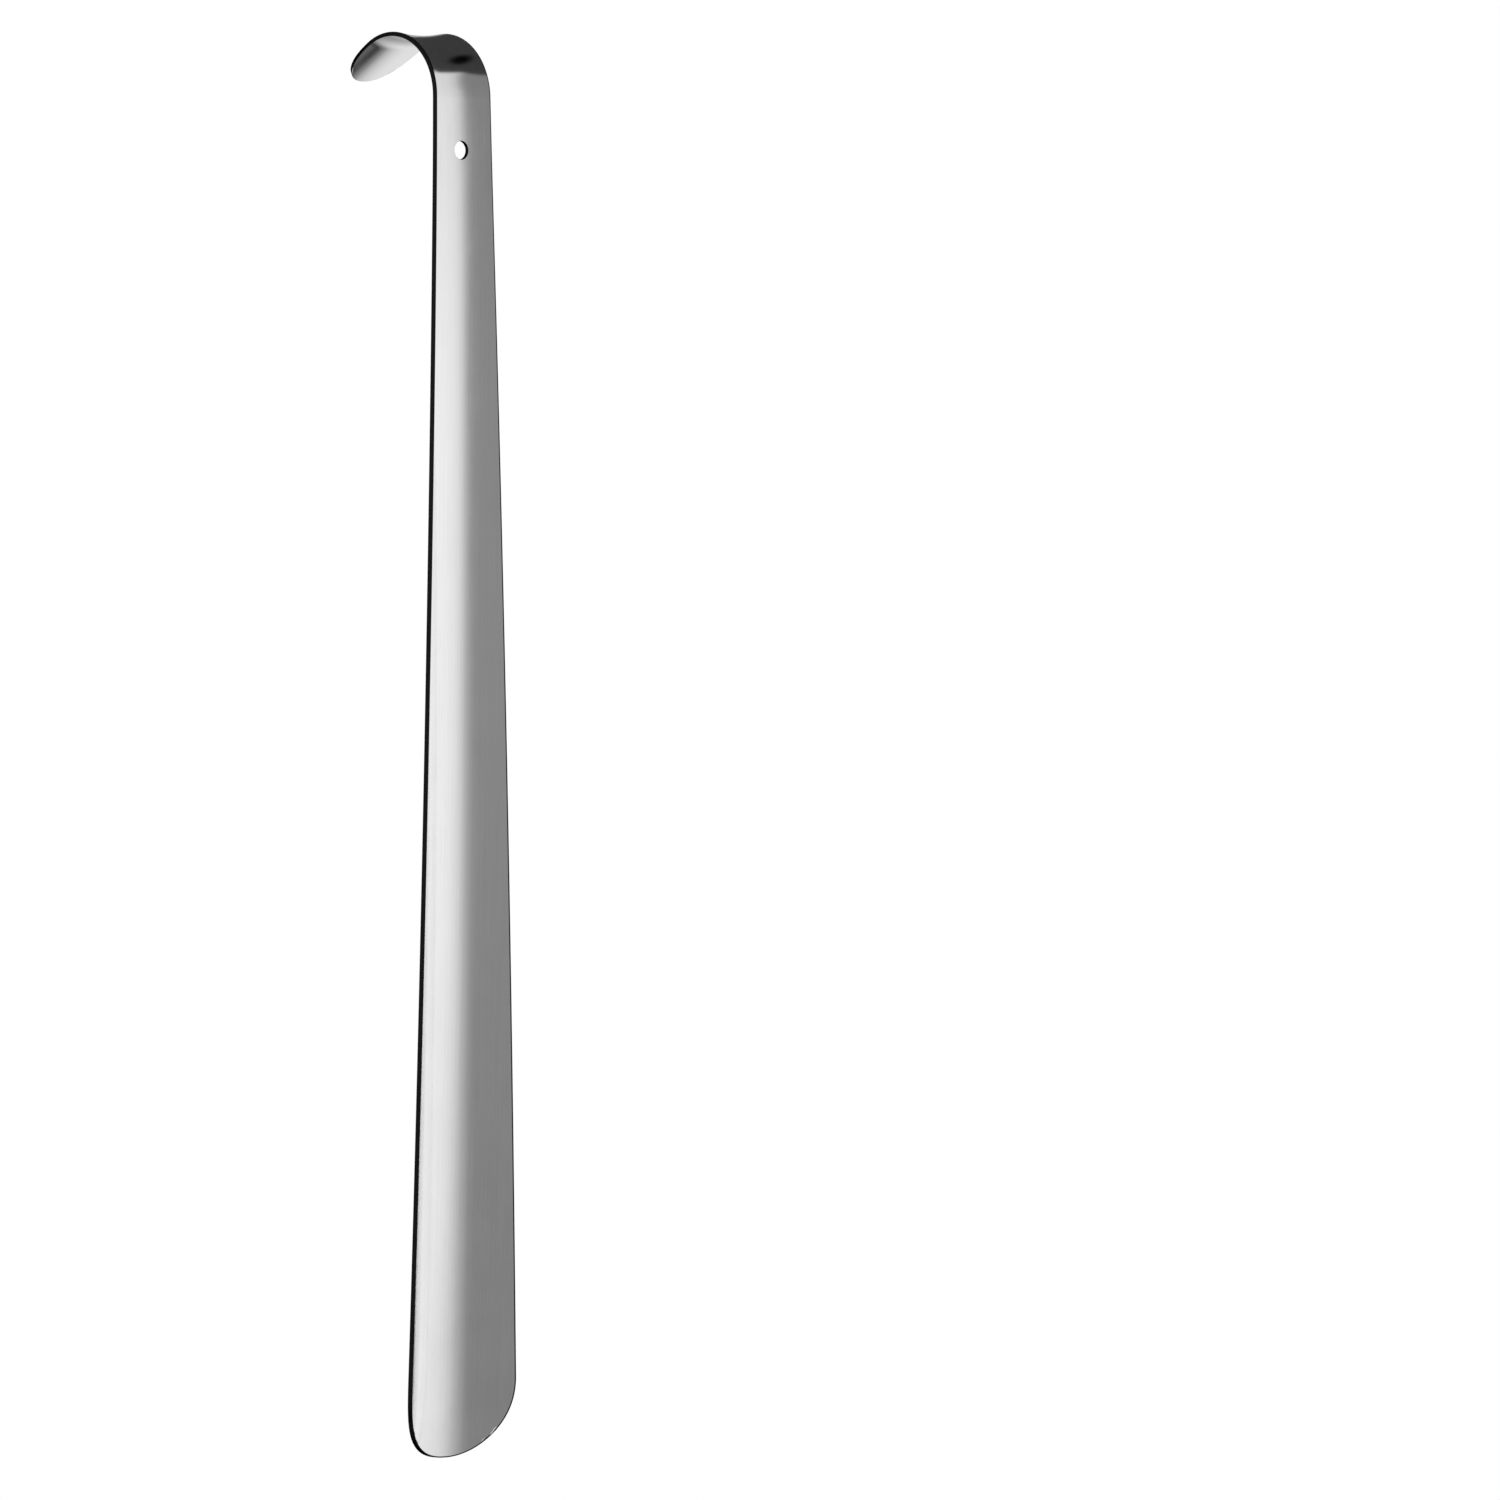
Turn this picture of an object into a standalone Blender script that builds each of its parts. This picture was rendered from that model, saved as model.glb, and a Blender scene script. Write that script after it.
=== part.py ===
"""Long shoehorn: one steel sheet, pressed into a widening trough, with a hook bent at its top.

The sheet's front face is a grid of points, which a Solidify modifier thickens to the back.
The front is the hollow side: it faces -Y on the blade and outwards around the hook.
The origin is the middle of the hanging hole, +Z is up, and the hook bends back, towards +Y.
A place on the sheet is x, measured across it, and run, measured along its rims: run is zero
where the hook's bend starts, positive down the blade and negative over the hook.
"""

from math import cos, radians, sin, sqrt

import bmesh
import bpy

OBJECT_NAME = "long_shoehorn"
SHEET_NAME = "shoehorn_blade"

# Driving dimensions, in metres and degrees.
OVERALL_HEIGHT = 0.600
THICKNESS = 0.0019
HOOK_WIDTH = 0.0302
TIP_WIDTH = 0.0595
HOOK_TROUGH = 0.0012
TIP_TROUGH = 0.0120
TAPER_EASE = 0.040
BEND_RADIUS = 0.0282
HOOK_LEAN = radians(121.5)
HOOK_ROUNDING = 0.0245
TIP_ROUNDING = 0.0330
END_FULLNESS = 2.2
BOW_LEAN = radians(1.05)
HOLE_BELOW_TOP = 0.0502
HOLE_RADIUS = 0.0039

# Sizes that follow from them.
BLADE_LENGTH = OVERALL_HEIGHT - BEND_RADIUS * (1 - sin(BOW_LEAN))
BLADE_RADIUS = BLADE_LENGTH / (2 * BOW_LEAN)
TIP_START = BLADE_LENGTH - TIP_ROUNDING
BEND_LENGTH = BEND_RADIUS * (HOOK_LEAN - BOW_LEAN)
HOLE_RUN = HOLE_BELOW_TOP - BEND_RADIUS * (1 - sin(BOW_LEAN))

# Fineness of the grid, and of the hole.
COLUMNS = 16
ROUNDING_ROWS = 8
BEND_ROWS = 26
BLADE_ROWS = 26
HOLE_SIDES = 48


def clear_scene():
    """Remove whatever the file holds."""
    for old in list(bpy.data.objects):
        bpy.data.objects.remove(old, do_unlink=True)


def new_collection(name):
    """A collection of its own, linked to the scene."""
    collection = bpy.data.collections.new(name)
    bpy.context.scene.collection.children.link(collection)
    return collection


def widening(run):
    """How far the blade has widened at run: 0 over the hook, and 1 where the tip's rounding starts."""
    eased_run = (run + sqrt(run * run + TAPER_EASE * TAPER_EASE)) / 2
    return eased_run / TIP_START


def half_width(run):
    """Half the distance between the rims, before the ends are rounded."""
    return (HOOK_WIDTH + (TIP_WIDTH - HOOK_WIDTH) * widening(run)) / 2


def trough_depth(x, run):
    """How far the front face lies behind the line through its rims: a circular arc."""
    half = half_width(run)
    deepest = HOOK_TROUGH + (TIP_TROUGH - HOOK_TROUGH) * widening(run)
    radius = (half * half + deepest * deepest) / (2 * deepest)
    return sqrt(radius * radius - x * x) - (radius - deepest)


def arc_move(radius, lean_from, lean_to):
    """The move in Y and Z along an arc that curves back as its lean from +Z grows."""
    return radius * (cos(lean_from) - cos(lean_to)), radius * (sin(lean_to) - sin(lean_from))


def rim_frame(run):
    """The rims' place in Y and Z from the bend's start, and their lean back from +Z."""
    if run >= 0:
        lean = BOW_LEAN - run / BLADE_RADIUS
        return *arc_move(BLADE_RADIUS, BOW_LEAN, lean), lean
    lean = min(BOW_LEAN - run / BEND_RADIUS, HOOK_LEAN)
    move_y, move_z = arc_move(BEND_RADIUS, BOW_LEAN, lean)
    straight = max(-run - BEND_LENGTH, 0.0)
    return move_y + straight * sin(lean), move_z + straight * cos(lean), lean


def sheet_point(x, run):
    """A point of the front face, with the hanging hole's middle at the origin."""
    rim_y, rim_z, lean = rim_frame(run)
    hole_y, hole_z, _ = rim_frame(HOLE_RUN)
    back = trough_depth(x, run)
    y = rim_y - hole_y + back * cos(lean) - trough_depth(0.0, HOLE_RUN) - THICKNESS / 2
    return x, y, rim_z - hole_z - back * sin(lean)


def corner_pull(share):
    """How far a patch's corner is drawn in, which makes its outline half a superellipse."""
    return (1 - abs(share) ** END_FULLNESS / 2) ** (1 / END_FULLNESS)


def rounded_end(across, along, start, length):
    """Map a square patch onto an end's outline: across is -1 to 1, along is 0 to 1."""
    x = half_width(start) * across * corner_pull(along)
    return x, start + length * along * corner_pull(across)


def steps(count):
    """Even fractions from just after 0 up to 1."""
    return [(index + 1) / count for index in range(count)]


def sheet_rows():
    """The grid's rows from the hook's end to the tip, each a list of points across the sheet."""
    columns = [2 * index / COLUMNS - 1 for index in range(COLUMNS + 1)]
    hook_end = [[rounded_end(across, along, -BEND_LENGTH, -HOOK_ROUNDING) for across in columns]
                for along in reversed(steps(ROUNDING_ROWS))]
    runs = [-BEND_LENGTH]
    runs += [-BEND_LENGTH * (1 - step) for step in steps(BEND_ROWS)]
    runs += [TIP_START * step for step in steps(BLADE_ROWS)]
    middle = [[(half_width(run) * across, run) for across in columns] for run in runs]
    tip = [[rounded_end(across, along, TIP_START, TIP_ROUNDING) for across in columns]
           for along in steps(ROUNDING_ROWS)]
    return [[sheet_point(*place) for place in row] for row in hook_end + middle + tip]


def build_sheet(collection):
    """The shoehorn's one piece, as an open grid with its thickness to come."""
    grid = bmesh.new()
    rows = [[grid.verts.new(point) for point in row] for row in sheet_rows()]
    for upper, lower in zip(rows, rows[1:]):
        for column in range(COLUMNS):
            corners = upper[column], lower[column], lower[column + 1], upper[column + 1]
            grid.faces.new(corners)
    mesh = bpy.data.meshes.new(SHEET_NAME)
    grid.to_mesh(mesh)
    grid.free()
    sheet = bpy.data.objects.new(SHEET_NAME, mesh)
    collection.objects.link(sheet)
    return sheet


def build_hole_cutter(collection):
    """A cylinder along Y through the origin, which punches the hanging hole."""
    bpy.ops.mesh.primitive_cylinder_add(
        vertices=HOLE_SIDES, radius=HOLE_RADIUS, depth=12 * THICKNESS, rotation=(radians(90), 0, 0)
    )
    cutter = bpy.context.object
    cutter.name = "hole_cutter"
    for old in list(cutter.users_collection):
        old.objects.unlink(cutter)
    collection.objects.link(cutter)
    cutter.hide_render = True
    cutter.display_type = "WIRE"
    return cutter


def thicken_and_punch(sheet, cutter):
    """Give the sheet its thickness, behind the front face, then cut the hole through it."""
    solidify = sheet.modifiers.new("thickness", "SOLIDIFY")
    solidify.thickness = THICKNESS
    solidify.offset = -1
    solidify.use_even_offset = True
    boolean = sheet.modifiers.new("hanging_hole", "BOOLEAN")
    boolean.operation = "DIFFERENCE"
    boolean.solver = "EXACT"
    boolean.object = cutter


def satin_steel():
    """Satin steel, a mid grey metal."""
    material = bpy.data.materials.new("satin_steel")
    material.use_nodes = True
    shader = material.node_tree.nodes["Principled BSDF"]
    shader.inputs["Base Color"].default_value = (0.60, 0.60, 0.60, 1.0)
    shader.inputs["Metallic"].default_value = 1.0
    shader.inputs["Roughness"].default_value = 0.30
    return material


def main():
    clear_scene()
    sheet = build_sheet(new_collection(OBJECT_NAME))
    sheet.data.shade_smooth()
    sheet.data.materials.append(satin_steel())
    cutter = build_hole_cutter(new_collection("cutters"))
    thicken_and_punch(sheet, cutter)


main()
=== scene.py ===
"""Looks for the long shoehorn: its one steel sheet with rolled edges, in a plain pale studio."""

from math import atan, cos, pi, radians, sin, sqrt

import bpy
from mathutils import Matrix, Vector


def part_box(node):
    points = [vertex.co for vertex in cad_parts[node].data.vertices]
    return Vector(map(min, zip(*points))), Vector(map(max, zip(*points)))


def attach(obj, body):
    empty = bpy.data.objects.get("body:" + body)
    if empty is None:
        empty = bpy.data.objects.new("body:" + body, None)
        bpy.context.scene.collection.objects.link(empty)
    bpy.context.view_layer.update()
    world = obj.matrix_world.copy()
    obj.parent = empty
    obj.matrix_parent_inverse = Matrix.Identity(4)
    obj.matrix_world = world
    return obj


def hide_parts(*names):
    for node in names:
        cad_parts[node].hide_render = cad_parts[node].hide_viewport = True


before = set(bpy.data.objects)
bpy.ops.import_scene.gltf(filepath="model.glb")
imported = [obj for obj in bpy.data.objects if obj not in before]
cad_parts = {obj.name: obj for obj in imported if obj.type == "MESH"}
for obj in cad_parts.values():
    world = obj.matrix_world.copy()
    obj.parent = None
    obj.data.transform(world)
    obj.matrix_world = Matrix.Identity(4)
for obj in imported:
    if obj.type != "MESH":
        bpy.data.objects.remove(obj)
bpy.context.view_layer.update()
NODE = "shoehorn_blade"
LOW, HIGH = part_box(NODE)
MM = 0.001

# The sheet, as the CAD has it. Its height, and the hole's place, come from the frame.
OVERALL_HEIGHT = 600 * MM
THICKNESS = 1.9 * MM
HOOK_WIDTH = 30.2 * MM
TIP_WIDTH = 59.5 * MM
HOOK_TROUGH = 1.2 * MM
TIP_TROUGH = 12.0 * MM
TAPER_EASE = 40 * MM
BEND_RADIUS = 28.2 * MM
HOOK_LEAN = radians(121.5)
HOOK_ROUNDING = 24.5 * MM
TIP_ROUNDING = 33.0 * MM
END_FULLNESS = 2.2
BOW_LEAN = radians(1.05)
HOLE_RADIUS = 3.9 * MM
HOLE_BELOW_TOP = HIGH.z

BEND_RISE = BEND_RADIUS * (1 - sin(BOW_LEAN))
BLADE_LENGTH = OVERALL_HEIGHT - BEND_RISE
BLADE_RADIUS = BLADE_LENGTH / (2 * BOW_LEAN)
TIP_START = BLADE_LENGTH - TIP_ROUNDING
BEND_LENGTH = BEND_RADIUS * (HOOK_LEAN - BOW_LEAN)
HOLE_RUN = HOLE_BELOW_TOP - BEND_RISE

# The edges: rolled over at the front, where the punch came down, and broken at the back. Each
# has a supporting row of points beside it, which keeps the smooth shading to the edge.
ROLL_WIDTH = 0.65 * MM
ROLL_DEPTH = 0.25 * MM
HOLE_ROLL = 0.15 * MM
ROLL_STEPS = 6
BACK_CORNER = 0.15 * MM
BACK_STEPS = 4
SUPPORT = 0.12 * MM

# The fine grid. The hole sits in a square patch, whose outline has a point for each of its sides.
# Slopes are measured over a small step.
COLUMNS = 36
ROUNDING_ROWS = 18
BEND_ROWS = 64
NECK_ROWS = 14
HOLE_CELLS = 14
HOLE_PATCH = 12.6 * MM
HOLE_RINGS = 4
BLADE_ROWS = 150
UPPER_LEFT = radians(135)
SLOPE_STEP = 0.02 * MM

# The steel: its two tints, the near-black of its cut edges (partly their duller finish, partly
# painted shade for the dark surroundings they mirror), and how rough they are.
STEEL_LOW = (0.72, 0.72, 0.72, 1.0)
STEEL_HIGH = (0.80, 0.80, 0.80, 1.0)
CUT_COLOR_WITH_PAINTED_SHADE = (0.025, 0.025, 0.025, 1.0)
WHITE = (1.0, 1.0, 1.0, 1.0)
FACE_ROUGHNESS = (0.10, 0.15)
GRAIN_ROUGHNESS = 0.02
CUT_ROUGHNESS = 0.14
GRAIN_STRENGTH = 0.10
GRAIN_HEIGHT = 0.02 * MM

# Its noises, in cells per metre across and along the sheet, and per thickness through it. The
# middle of a noise is where most of its values lie, and the mottling is the sum of all three.
GRAIN_SCALE = (5200.0, 90.0, 1.0)
HAIRLINE_SCALE = (1500.0, 14.0, 1.0)
SMUDGE_SCALE = (70.0, 45.0, 3.0)
NOISE_MIDDLE = (0.3, 0.7)
MOTTLING_MIDDLE = (1.1, 1.9)

# The studio as the steel mirrors it. The walls' light goes by bearing from -Y towards +X, and
# is shared out by height, both in degrees.
WALL_LIGHT = 1.25
WALLS = (
    (-180, 0.40), (-140, 0.50), (-100, 0.50), (-60, 0.36), (-40, 0.32), (13, 0.33),
    (20, 0.38), (27, 0.58), (33, 0.82), (40, 0.96), (48, 1.05), (60, 1.11), (75, 1.13),
    (116, 1.13), (130, 0.50), (137, 0.33), (180, 0.40),
)
HEIGHTS = (
    (-90, 0.60), (-66, 0.50), (-60, 0.13), (-55.5, 0.13), (-54, 0.03), (-51.5, 0.03),
    (-50, 0.20), (-48, 0.25), (-46.5, 0.48), (-43, 0.68), (-38, 0.82), (-15, 0.84), (-5, 0.84),
    (-3, 0.97), (1, 1.0), (3, 0.84), (20, 0.80),
)

# The bright wall's edge leans to larger bearings higher up, and gets sharper. Each entry holds
# two heights in degrees and the value at each, and the entries of a table are added up. Below
# them are the edge's own bearing and width.
LEANS = ((-3, 3, 0.0, radians(14.7)), (8, 30, 0.0, radians(9)))
SHARPENINGS = ((-5, -1, -0.50, 0.0), (-1, 3, 0.0, 1.0))
EDGE_BEARING = radians(28)
EDGE_WIDTH = radians(10)

# What is mirrored twice between the trough's sides, its share by height in entries like those
# above, and the ray depth that tells the second mirroring from the first.
TWICE_MIRRORED = 1.33
TWICE_HEIGHTS = ((-20, -10, 0.0, 1.0), (10, 20, 0.0, -1.0))
TWICE_DEPTH = 2.5

# The light that comes from all round to everything but the steel's mirroring.
WHITE_LEVEL = 1.0

# The dark ceiling: the height of its edge; how much that rises or falls with bearing, in
# entries of two bearings and the rise at each, all in degrees, so that there is no ceiling
# behind; how soft the edge is; its light; and a round blacker patch.
CEILING_EDGE = radians(35)
CEILING_FALLS = ((52, 72, 0, -9), (112, 130, 0, -10), (140, 178, 0, 79), (-90, -20, 60, 0))
CEILING_SOFTNESS = radians(2)
CEILING_LIGHT = 0.05
PATCH_BEARING = radians(70)
PATCH_HEIGHT = radians(49)
PATCH_INNER = radians(3)
PATCH_OUTER = radians(10)

# The floor.
FLOOR_COLOR = (0.96, 0.96, 0.955, 1.0)
FLOOR_SIDES = 96
FLOOR_RADIUS = 4.4
FLOOR_DROP = 0.30

# The camera. It is turned to look past the shoehorn by the offset.
VIEW_YAW = radians(43.2)
VIEW_DISTANCE = 7.0
VIEW_OFFSET = 0.1203
VIEW_TARGET_Y = -0.0024
VIEW_LIFT = -0.0023
FRAME_WIDTH = 0.630
SENSOR_WIDTH = 36.0
VIEW_REACH = 100.0


# ---------------------------------------------------------------- the sheet's shape

def widening(run):
    """How far the blade has widened at run, from 0 over the hook to 1 where the tip rounds."""
    eased_run = (run + sqrt(run * run + TAPER_EASE * TAPER_EASE)) / 2
    return eased_run / TIP_START


def half_width(run):
    """Half the distance between the rims, before the ends are rounded."""
    return (HOOK_WIDTH + (TIP_WIDTH - HOOK_WIDTH) * widening(run)) / 2


def trough_depth(x, run):
    """How far the front face lies behind the line through its rims: a circular arc."""
    half = half_width(run)
    deepest = HOOK_TROUGH + (TIP_TROUGH - HOOK_TROUGH) * widening(run)
    radius = (half * half + deepest * deepest) / (2 * deepest)
    return sqrt(radius * radius - x * x) - (radius - deepest)


def arc_move(radius, lean_from, lean_to):
    """The move in Y and Z along an arc that curves back as its lean from +Z grows."""
    return radius * (cos(lean_from) - cos(lean_to)), radius * (sin(lean_to) - sin(lean_from))


def rim_frame(run):
    """The rims' place in Y and Z from the bend's start, and their lean back from +Z."""
    if run >= 0:
        lean = BOW_LEAN - run / BLADE_RADIUS
        return *arc_move(BLADE_RADIUS, BOW_LEAN, lean), lean
    lean = min(BOW_LEAN - run / BEND_RADIUS, HOOK_LEAN)
    move_y, move_z = arc_move(BEND_RADIUS, BOW_LEAN, lean)
    straight = max(-run - BEND_LENGTH, 0.0)
    return move_y + straight * sin(lean), move_z + straight * cos(lean), lean


def sheet_point(x, run):
    """A point of the front face, with the hanging hole's middle at the origin."""
    rim_y, rim_z, lean = rim_frame(run)
    hole_y, hole_z, _ = rim_frame(HOLE_RUN)
    back = trough_depth(x, run)
    y = rim_y - hole_y + back * cos(lean) - trough_depth(0.0, HOLE_RUN) - THICKNESS / 2
    return Vector((x, y, rim_z - hole_z - back * sin(lean)))


def back_normal(x, run):
    """The unit normal of the sheet at a place, pointing out of its back."""
    across = sheet_point(x + SLOPE_STEP, run) - sheet_point(x - SLOPE_STEP, run)
    down = sheet_point(x, run + SLOPE_STEP) - sheet_point(x, run - SLOPE_STEP)
    return across.cross(down).normalized()


def corner_pull(share):
    """How far a patch's corner is drawn in, which makes its outline half a superellipse."""
    return (1 - abs(share) ** END_FULLNESS / 2) ** (1 / END_FULLNESS)


def rounded_end(across, along, start, length):
    """Map a square patch onto an end's outline: across is -1 to 1, along is 0 to 1."""
    x = half_width(start) * across * corner_pull(along)
    return x, start + length * along * corner_pull(across)


def between(start, end, count):
    """Even steps from just after start up to end."""
    return [start + (end - start) * (index + 1) / count for index in range(count)]


def place_rows():
    """The grid's rows of (x, run), from hook end to tip, and the hole patch's first row."""
    columns = [2 * index / COLUMNS - 1 for index in range(COLUMNS + 1)]
    hook_end = [[rounded_end(across, along, -BEND_LENGTH, -HOOK_ROUNDING) for across in columns]
                for along in reversed(between(0, 1, ROUNDING_ROWS))]
    patch_top = HOLE_RUN - HOLE_PATCH / 2
    patch_bottom = HOLE_RUN + HOLE_PATCH / 2
    runs = [-BEND_LENGTH]
    runs += between(-BEND_LENGTH, 0, BEND_ROWS)
    runs += between(0, patch_top, NECK_ROWS)
    first_patch_row = len(hook_end) + len(runs) - 1
    runs += between(patch_top, patch_bottom, HOLE_CELLS)
    runs += between(patch_bottom, TIP_START, BLADE_ROWS)
    middle = [[(half_width(run) * across, run) for across in columns] for run in runs]
    tip = [[rounded_end(across, along, TIP_START, TIP_ROUNDING) for across in columns]
           for along in between(0, 1, ROUNDING_ROWS)]
    return hook_end + middle + tip, first_patch_row


# ---------------------------------------------------------------- the sheet's mesh

def edge_profile(roll_width, roll_depth):
    """The edge from front to back: inset from the cut face, depth from the front, cut share."""
    profile = [(roll_width + SUPPORT, 0.0, 0.0), (roll_width, 0.0, 0.0)]
    for share in between(0, 1, ROLL_STEPS):
        turn = share * pi / 2
        profile.append((roll_width * (1 - sin(turn)), roll_depth * (1 - cos(turn)), 1.0))
    profile.append((0.0, roll_depth + SUPPORT, 1.0))
    profile.append((0.0, THICKNESS - BACK_CORNER - SUPPORT, 1.0))
    profile.append((0.0, THICKNESS - BACK_CORNER, 1.0))
    for share in between(0, 1, BACK_STEPS):
        turn = share * pi / 2
        depth = THICKNESS - BACK_CORNER * (1 - sin(turn))
        profile.append((BACK_CORNER * (1 - cos(turn)), depth, 1.0))
    profile.append((BACK_CORNER + SUPPORT, THICKNESS, 0.0))
    return profile


class SheetMesh:
    """Collects the sheet's points and faces, and what its material reads at each point."""

    def __init__(self):
        self.points = []
        self.places = []
        self.cuts = []
        self.faces = []

    def add(self, point, place, side, cut=0.0):
        """One point. side is 0 at the front and 1 at the back, and cut is 1 on the cut face."""
        self.points.append(point)
        self.places.append((place[0], place[1], side))
        self.cuts.append(cut)
        return len(self.points) - 1

    def add_inner(self, place, depth):
        """One point of the front or back face, away from the edges."""
        point = sheet_point(*place) + back_normal(*place) * depth
        return self.add(point, place, depth / THICKNESS)

    def add_faces(self, faces, reverse):
        """Faces that run anticlockwise seen from the front, or the same the other way about."""
        self.faces += [tuple(reversed(face)) for face in faces] if reverse else faces


def outline_of(first_row, last_row, first_column, last_column):
    """Grid positions round a rectangle of the grid: down, right, up and left, from the front."""
    loop = [(row, first_column) for row in range(first_row, last_row)]
    loop += [(last_row, column) for column in range(first_column, last_column)]
    loop += [(row, last_column) for row in range(last_row, first_row, -1)]
    loop += [(first_row, column) for column in range(last_column, first_column, -1)]
    return loop


def ring_faces(ring, next_ring):
    """Quads between two closed rings of points."""
    count = len(ring)
    return [(ring[index], ring[(index + 1) % count], next_ring[(index + 1) % count],
             next_ring[index]) for index in range(count)]


def off_metal(places, sign):
    """At each place of a closed loop, the direction along the sheet that leads off the metal."""
    points = [sheet_point(*place) for place in places]
    directions = []
    for index, place in enumerate(places):
        along = points[(index + 1) % len(points)] - points[index - 1]
        directions.append(sign * along.cross(back_normal(*place)).normalized())
    return directions


def edge_rings(mesh, places, profile, is_hole):
    """Rings of points along a closed loop, which turn the sheet's front into its back."""
    directions = off_metal(places, 1 if is_hole else -1)
    rings = []
    for inset, depth, cut in profile:
        ring = []
        for place, direction in zip(places, directions):
            point = sheet_point(*place) - direction * inset + back_normal(*place) * depth
            ring.append(mesh.add(point, place, depth / THICKNESS, cut))
        rings.append(ring)
    for ring, next_ring in zip(rings, rings[1:]):
        mesh.add_faces(ring_faces(ring, next_ring), reverse=not is_hole)
    return rings


def circle_places(radius, count):
    """Places on a circle round the hole's middle, from the upper left, in an outline's order."""
    turns = [UPPER_LEFT + 2 * pi * index / count for index in range(count)]
    return [(radius * cos(turn), HOLE_RUN - radius * sin(turn)) for turn in turns]


def fill_patch(mesh, rows, patch_loop, index_at, hole_ring, depth):
    """Rings that turn the square patch's outline into the hole's circle."""
    goal = circle_places(HOLE_RADIUS + HOLE_ROLL + SUPPORT, len(patch_loop))
    ring = [index_at[key] for key in patch_loop]
    for share in between(0, 1, HOLE_RINGS)[:-1]:
        next_ring = []
        for (row, column), (x, run) in zip(patch_loop, goal):
            start_x, start_run = rows[row][column]
            place = (start_x + (x - start_x) * share, start_run + (run - start_run) * share)
            next_ring.append(mesh.add_inner(place, depth))
        mesh.add_faces(ring_faces(ring, next_ring), reverse=depth > 0)
        ring = next_ring
    mesh.add_faces(ring_faces(ring, hole_ring), reverse=depth > 0)


def add_side(mesh, rows, patch, outer_loop, outer_ring, hole_ring, depth):
    """The front face, or the back face one thickness behind it, with its hole."""
    first_row, last_row, first_column, last_column = patch
    index_at = dict(zip(outer_loop, outer_ring))
    for row, places in enumerate(rows):
        for column, place in enumerate(places):
            inside = first_row < row < last_row and first_column < column < last_column
            if not inside and (row, column) not in index_at:
                index_at[row, column] = mesh.add_inner(place, depth)
    faces = []
    for row in range(len(rows) - 1):
        for column in range(COLUMNS):
            if first_row <= row < last_row and first_column <= column < last_column:
                continue
            faces.append((index_at[row, column], index_at[row + 1, column],
                          index_at[row + 1, column + 1], index_at[row, column + 1]))
    mesh.add_faces(faces, reverse=depth > 0)
    fill_patch(mesh, rows, outline_of(*patch), index_at, hole_ring, depth)


def sheet_mesh():
    """The whole sheet as one closed mesh."""
    mesh = SheetMesh()
    rows, patch_row = place_rows()
    patch_column = (COLUMNS - HOLE_CELLS) // 2
    patch = (patch_row, patch_row + HOLE_CELLS, patch_column, patch_column + HOLE_CELLS)
    outer_loop = outline_of(0, len(rows) - 1, 0, COLUMNS)
    outer_places = [rows[row][column] for row, column in outer_loop]
    outer_rings = edge_rings(mesh, outer_places, edge_profile(ROLL_WIDTH, ROLL_DEPTH), False)
    hole_places = circle_places(HOLE_RADIUS, 4 * HOLE_CELLS)
    hole_edge = edge_rings(mesh, hole_places, edge_profile(HOLE_ROLL, HOLE_ROLL), True)
    add_side(mesh, rows, patch, outer_loop, outer_rings[0], hole_edge[0], 0.0)
    add_side(mesh, rows, patch, outer_loop, outer_rings[-1], hole_edge[-1], THICKNESS)
    return mesh


def build_sheet():
    """The shoehorn, with its place on the sheet and its cut edges stored for the material."""
    sheet = sheet_mesh()
    mesh = bpy.data.meshes.new("formed_sheet")
    mesh.from_pydata(sheet.points, [], sheet.faces)
    mesh.update()
    places = mesh.attributes.new("sheet_place", "FLOAT_VECTOR", "POINT")
    places.data.foreach_set("vector", [value for place in sheet.places for value in place])
    cuts = mesh.attributes.new("cut_edge", "FLOAT", "POINT")
    cuts.data.foreach_set("value", sheet.cuts)
    mesh.shade_smooth()
    shoehorn = bpy.data.objects.new("formed_sheet", mesh)
    bpy.context.scene.collection.objects.link(shoehorn)
    shoehorn.data.materials.append(satin_steel())
    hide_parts(NODE)
    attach(shoehorn, "root")
    return shoehorn


# ---------------------------------------------------------------- material

# The Mix node's sockets for colours, which share their names with its other sockets.
MIX_COLOR_A = 6
MIX_COLOR_B = 7
MIX_COLOR_RESULT = 2


class Nodes:
    """Short ways to add and link shader nodes."""

    def __init__(self, tree):
        self.tree = tree

    def add(self, kind, **settings):
        node = self.tree.nodes.new(kind)
        for name, value in settings.items():
            setattr(node, name, value)
        return node

    def link(self, output, socket):
        self.tree.links.new(output, socket)

    def math(self, operation, first, second=0.0):
        """A Math node, whose inputs are sockets or numbers."""
        node = self.add("ShaderNodeMath", operation=operation)
        for socket, value in zip(node.inputs, (first, second)):
            if isinstance(value, (int, float)):
                socket.default_value = value
            else:
                self.link(value, socket)
        return node.outputs[0]

    def remap(self, value, low, high, new_low, new_high, smooth=False):
        """Map Range, from low..high to new_low..new_high."""
        node = self.add("ShaderNodeMapRange")
        node.interpolation_type = "SMOOTHSTEP" if smooth else "LINEAR"
        self.link(value, node.inputs["Value"])
        for name, number in (("From Min", low), ("From Max", high),
                             ("To Min", new_low), ("To Max", new_high)):
            node.inputs[name].default_value = number
        return node.outputs["Result"]

    def noise(self, vector, scale, detail=3.0, roughness=0.5):
        """Noise at a scale along each axis, read at a place on the sheet."""
        mapping = self.add("ShaderNodeMapping")
        mapping.inputs["Scale"].default_value = scale
        self.link(vector, mapping.inputs["Vector"])
        noise = self.add("ShaderNodeTexNoise")
        noise.inputs["Scale"].default_value = 1.0
        noise.inputs["Detail"].default_value = detail
        noise.inputs["Roughness"].default_value = roughness
        self.link(mapping.outputs["Vector"], noise.inputs["Vector"])
        return noise.outputs["Fac"]


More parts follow.
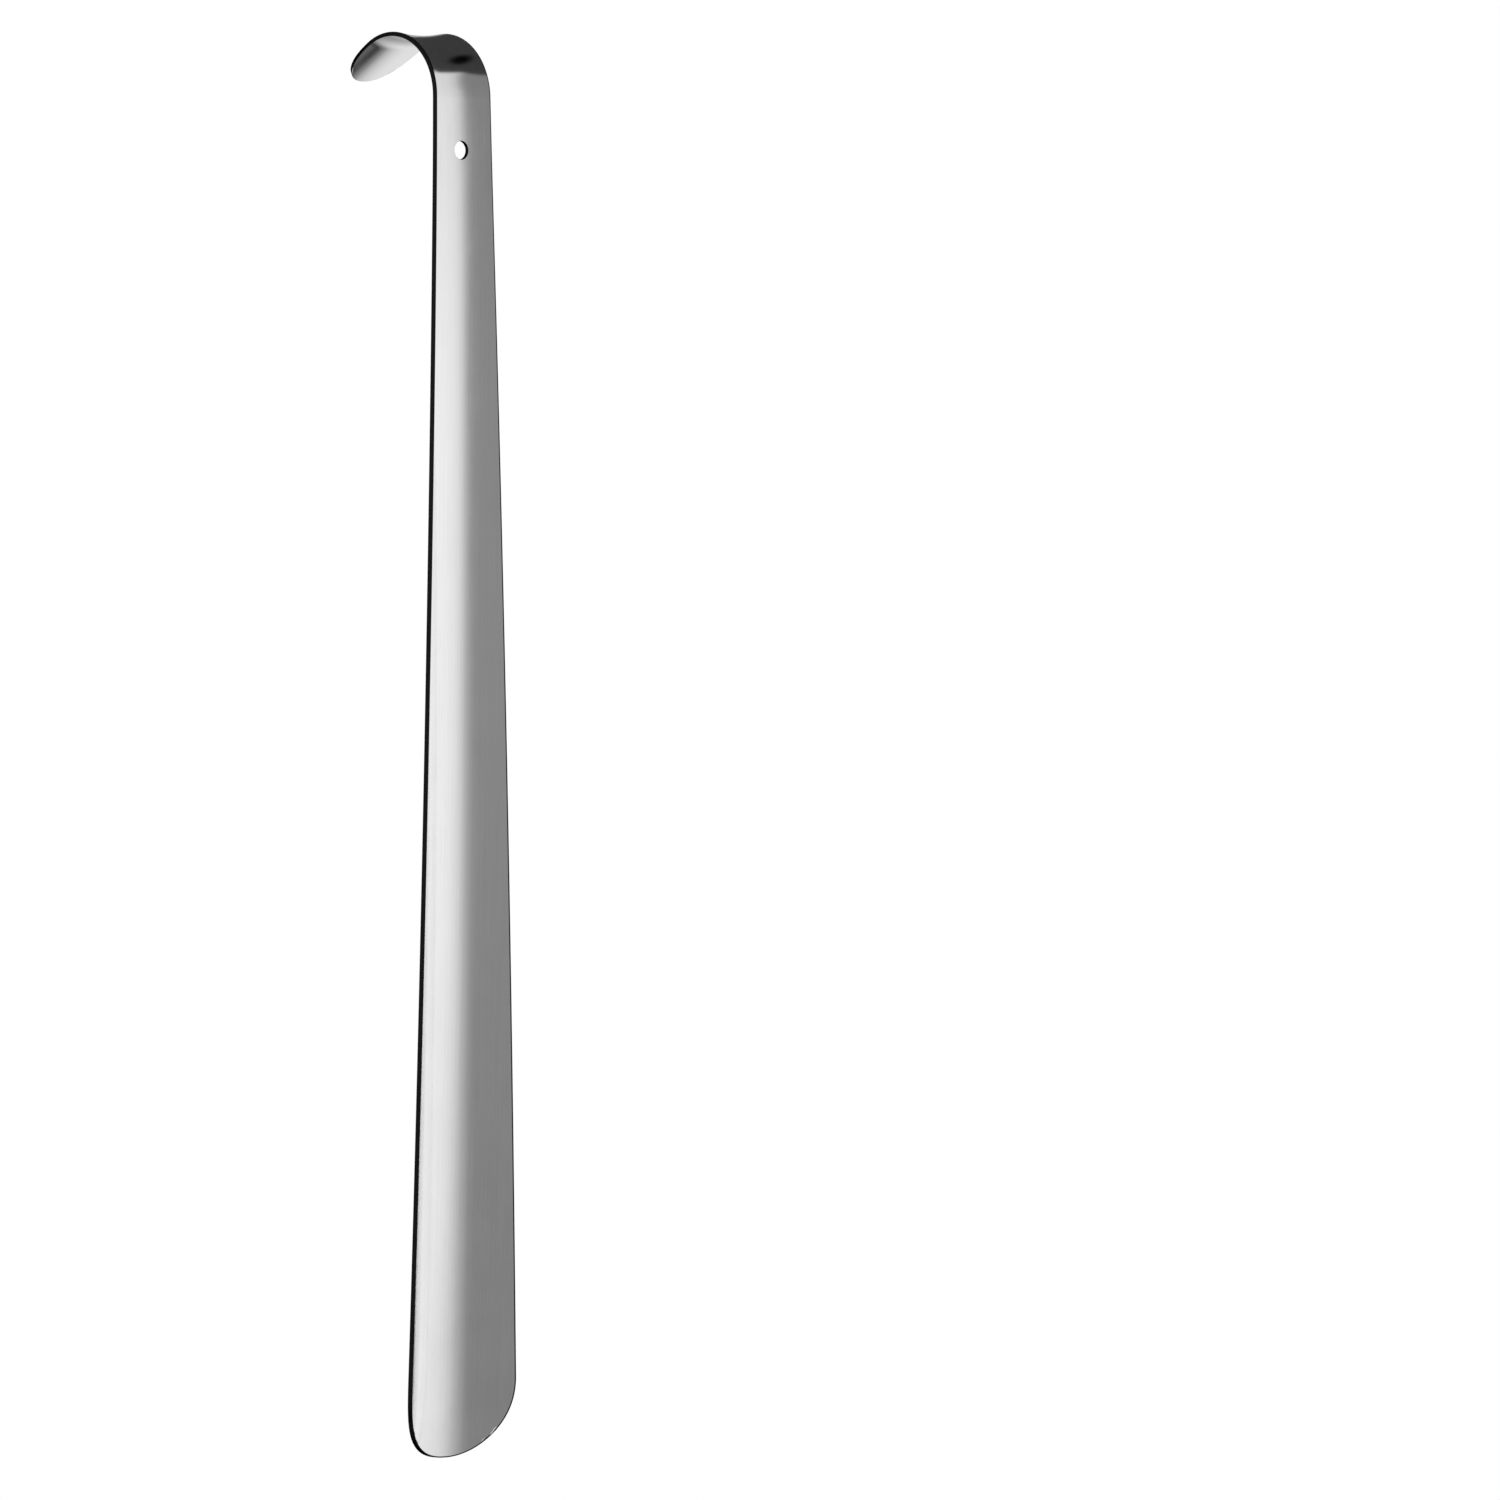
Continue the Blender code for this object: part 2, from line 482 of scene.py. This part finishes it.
def mix_colors(nodes, factor, first, second):
    """A colour between two, which are sockets or colours."""
    mix = nodes.add("ShaderNodeMix", data_type="RGBA")
    nodes.link(factor, mix.inputs["Factor"])
    for socket, value in ((mix.inputs[MIX_COLOR_A], first), (mix.inputs[MIX_COLOR_B], second)):
        if isinstance(value, tuple):
            socket.default_value = value
        else:
            nodes.link(value, socket)
    return mix.outputs[MIX_COLOR_RESULT]


def satin_steel():
    """Polished sheet steel: lengthwise grain, faint smudges, and rougher cut edges, darker partly
    by their finish and partly by painted shade.
    """
    material = bpy.data.materials.new("satin_steel")
    material.use_nodes = True
    nodes = Nodes(material.node_tree)
    shader = material.node_tree.nodes["Principled BSDF"]
    shader.inputs["Metallic"].default_value = 1.0
    place = nodes.add("ShaderNodeAttribute", attribute_name="sheet_place").outputs["Vector"]
    cut = nodes.add("ShaderNodeAttribute", attribute_name="cut_edge").outputs["Fac"]

    grain = nodes.noise(place, GRAIN_SCALE, detail=4.0, roughness=0.65)
    hairlines = nodes.noise(place, HAIRLINE_SCALE, detail=2.0)
    smudges = nodes.noise(place, SMUDGE_SCALE, detail=5.0, roughness=0.6)
    mottling = nodes.math("ADD", nodes.math("ADD", grain, hairlines), smudges)
    tint = nodes.remap(mottling, *MOTTLING_MIDDLE, 0.0, 1.0)
    face = mix_colors(nodes, tint, STEEL_LOW, STEEL_HIGH)
    # The cut edges get a near-black base colour: partly their duller finish, partly painted shade
    # standing in for the dark surroundings they mirror.
    color = mix_colors(nodes, cut, face, CUT_COLOR_WITH_PAINTED_SHADE)
    nodes.link(color, shader.inputs["Base Color"])
    # The cut edges' grazing sheen is also tinted near-black: painted shade where the edge would
    # show a bright glint.
    grazing_tint_with_painted_shade = mix_colors(nodes, cut, WHITE, CUT_COLOR_WITH_PAINTED_SHADE)
    nodes.link(grazing_tint_with_painted_shade, shader.inputs["Specular Tint"])

    face_roughness = nodes.remap(smudges, *NOISE_MIDDLE, *FACE_ROUGHNESS)
    grain_roughness = nodes.remap(grain, *NOISE_MIDDLE, -GRAIN_ROUGHNESS, GRAIN_ROUGHNESS)
    roughness = nodes.math("ADD", face_roughness, grain_roughness)
    cut_roughness = nodes.math("MULTIPLY", cut, CUT_ROUGHNESS)
    nodes.link(nodes.math("ADD", roughness, cut_roughness), shader.inputs["Roughness"])

    bump = nodes.add("ShaderNodeBump")
    nodes.link(nodes.remap(cut, 0.0, 1.0, GRAIN_STRENGTH, 0.0), bump.inputs["Strength"])
    bump.inputs["Distance"].default_value = GRAIN_HEIGHT
    nodes.link(nodes.math("ADD", grain, hairlines), bump.inputs["Height"])
    nodes.link(bump.outputs["Normal"], shader.inputs["Normal"])
    return material


def pale_floor():
    """A matt, pale floor."""
    material = bpy.data.materials.new("pale_floor")
    material.use_nodes = True
    shader = material.node_tree.nodes["Principled BSDF"]
    shader.inputs["Base Color"].default_value = FLOOR_COLOR
    shader.inputs["Roughness"].default_value = 1.0
    shader.inputs["Specular IOR Level"].default_value = 0.0
    return material


# ---------------------------------------------------------------- studio

def build_floor():
    """A plain round floor, well below the hanging shoehorn, which the steel doesn't mirror."""
    bpy.ops.mesh.primitive_circle_add(
        vertices=FLOOR_SIDES, radius=FLOOR_RADIUS, fill_type="NGON",
        location=(0, 0, LOW.z - FLOOR_DROP),
    )
    floor = bpy.context.object
    floor.name = "floor"
    floor.visible_glossy = False
    floor.data.materials.append(pale_floor())


def grey(level):
    """A colour without hue."""
    return (level, level, level, 1.0)


def light_ramp(nodes, value, stops):
    """Light levels at stops along a value from 0 to 1."""
    ramp = nodes.add("ShaderNodeValToRGB")
    elements = ramp.color_ramp.elements
    while len(elements) > 1:
        elements.remove(elements[-1])
    for index, (position, level) in enumerate(stops):
        element = elements[0] if index == 0 else elements.new(position)
        element.position = position
        element.color = grey(level)
    nodes.link(value, ramp.inputs["Fac"])
    return ramp.outputs["Color"]


def by_height(nodes, rise, entries):
    """The sum of values that each go from one height to another."""
    total = 0.0
    for low, high, start, end in entries:
        value = nodes.remap(rise, sin(radians(low)), sin(radians(high)), start, end)
        total = nodes.math("ADD", value, total)
    return total


def mirrored_walls(nodes, bearing, rise):
    """The walls as the steel mirrors them, in shares of the walls' light."""
    leaning = nodes.math("SUBTRACT", bearing, by_height(nodes, rise, LEANS))
    from_edge = nodes.math("SUBTRACT", leaning, EDGE_BEARING)
    near_edge = nodes.math("TANH", nodes.math("DIVIDE", from_edge, EDGE_WIDTH))
    sharpening = nodes.math("MULTIPLY", by_height(nodes, rise, SHARPENINGS), EDGE_WIDTH)
    sharpened = nodes.math("ADD", leaning, nodes.math("MULTIPLY", near_edge, sharpening))
    turn = nodes.remap(sharpened, -pi, pi, 0.0, 1.0)
    walls = light_ramp(nodes, turn, [((degree + 180) / 360, level / WALL_LIGHT)
                                     for degree, level in WALLS])
    height = nodes.remap(rise, -1.0, 1.0, 0.0, 1.0)
    heights = light_ramp(nodes, height, [((sin(radians(degree)) + 1) / 2, share)
                                         for degree, share in HEIGHTS])
    return nodes.math("MULTIPLY", walls, heights)


def mirrored_ceiling(nodes, direction, bearing, rise):
    """The dark ceiling's share of what is mirrored, and its own light."""
    above = nodes.math("SUBTRACT", nodes.math("ARCSINE", rise), CEILING_EDGE)
    for start, end, at_start, at_end in CEILING_FALLS:
        fall = nodes.remap(bearing, radians(start), radians(end),
                           radians(at_start), radians(at_end))
        above = nodes.math("SUBTRACT", above, fall)
    share = nodes.remap(above, -CEILING_SOFTNESS, CEILING_SOFTNESS, 0.0, 1.0, smooth=True)
    towards_patch = nodes.add("ShaderNodeVectorMath", operation="DOT_PRODUCT")
    nodes.link(direction, towards_patch.inputs[0])
    towards_patch.inputs[1].default_value = (
        sin(PATCH_BEARING) * cos(PATCH_HEIGHT), -cos(PATCH_BEARING) * cos(PATCH_HEIGHT),
        sin(PATCH_HEIGHT),
    )
    light = nodes.remap(towards_patch.outputs["Value"], cos(PATCH_OUTER), cos(PATCH_INNER),
                        CEILING_LIGHT / WALL_LIGHT, 0.0, smooth=True)
    return share, light


def build_studio():
    """Soft white light all round; the steel mirrors a bright wall, grey walls, a dark ceiling."""
    world = bpy.data.worlds.new("studio")
    bpy.context.scene.world = world
    world.use_nodes = True
    world.cycles.sampling_method = "NONE"
    nodes = Nodes(world.node_tree)
    background = world.node_tree.nodes["Background"]
    direction = nodes.add("ShaderNodeTexCoord").outputs["Generated"]
    parts = nodes.add("ShaderNodeSeparateXYZ")
    nodes.link(direction, parts.inputs[0])
    forward = nodes.math("MULTIPLY", parts.outputs["Y"], -1.0)
    bearing = nodes.math("ARCTAN2", parts.outputs["X"], forward)
    rise = parts.outputs["Z"]
    walls = mirrored_walls(nodes, bearing, rise)
    ceiling_share, ceiling = mirrored_ceiling(nodes, direction, bearing, rise)
    mirrored = mix_colors(nodes, ceiling_share, walls, ceiling)
    path = nodes.add("ShaderNodeLightPath")
    is_second = nodes.math("GREATER_THAN", path.outputs["Ray Depth"], TWICE_DEPTH)
    twice_share = nodes.math("MULTIPLY", is_second, by_height(nodes, rise, TWICE_HEIGHTS))
    mirrored = mix_colors(nodes, twice_share, mirrored, grey(TWICE_MIRRORED / WALL_LIGHT))
    white = grey(WHITE_LEVEL / WALL_LIGHT)
    color = mix_colors(nodes, path.outputs["Is Glossy Ray"], white, mirrored)
    nodes.link(color, background.inputs["Color"])
    background.inputs["Strength"].default_value = WALL_LIGHT


def build_camera():
    """A level camera far off, front left, with the shoehorn left of the picture's middle."""
    yaw = VIEW_YAW + atan(VIEW_OFFSET / VIEW_DISTANCE)
    target = Vector((0.0, VIEW_TARGET_Y, (LOW.z + HIGH.z) / 2 + VIEW_LIFT))
    camera = bpy.data.cameras.new("camera")
    camera.sensor_width = SENSOR_WIDTH
    camera.lens = camera.sensor_width * VIEW_DISTANCE / FRAME_WIDTH
    camera.clip_end = VIEW_REACH
    holder = bpy.data.objects.new("camera", camera)
    toward = Vector((sin(VIEW_YAW), cos(VIEW_YAW), 0.0))
    holder.location = target - toward * VIEW_DISTANCE
    holder.rotation_euler = (pi / 2, 0.0, -yaw)
    bpy.context.scene.collection.objects.link(holder)
    bpy.context.scene.camera = holder


def main():
    """Builds the scene."""
    bpy.context.scene.view_settings.view_transform = "Standard"
    build_camera()
    build_sheet()
    build_floor()
    build_studio()


main()
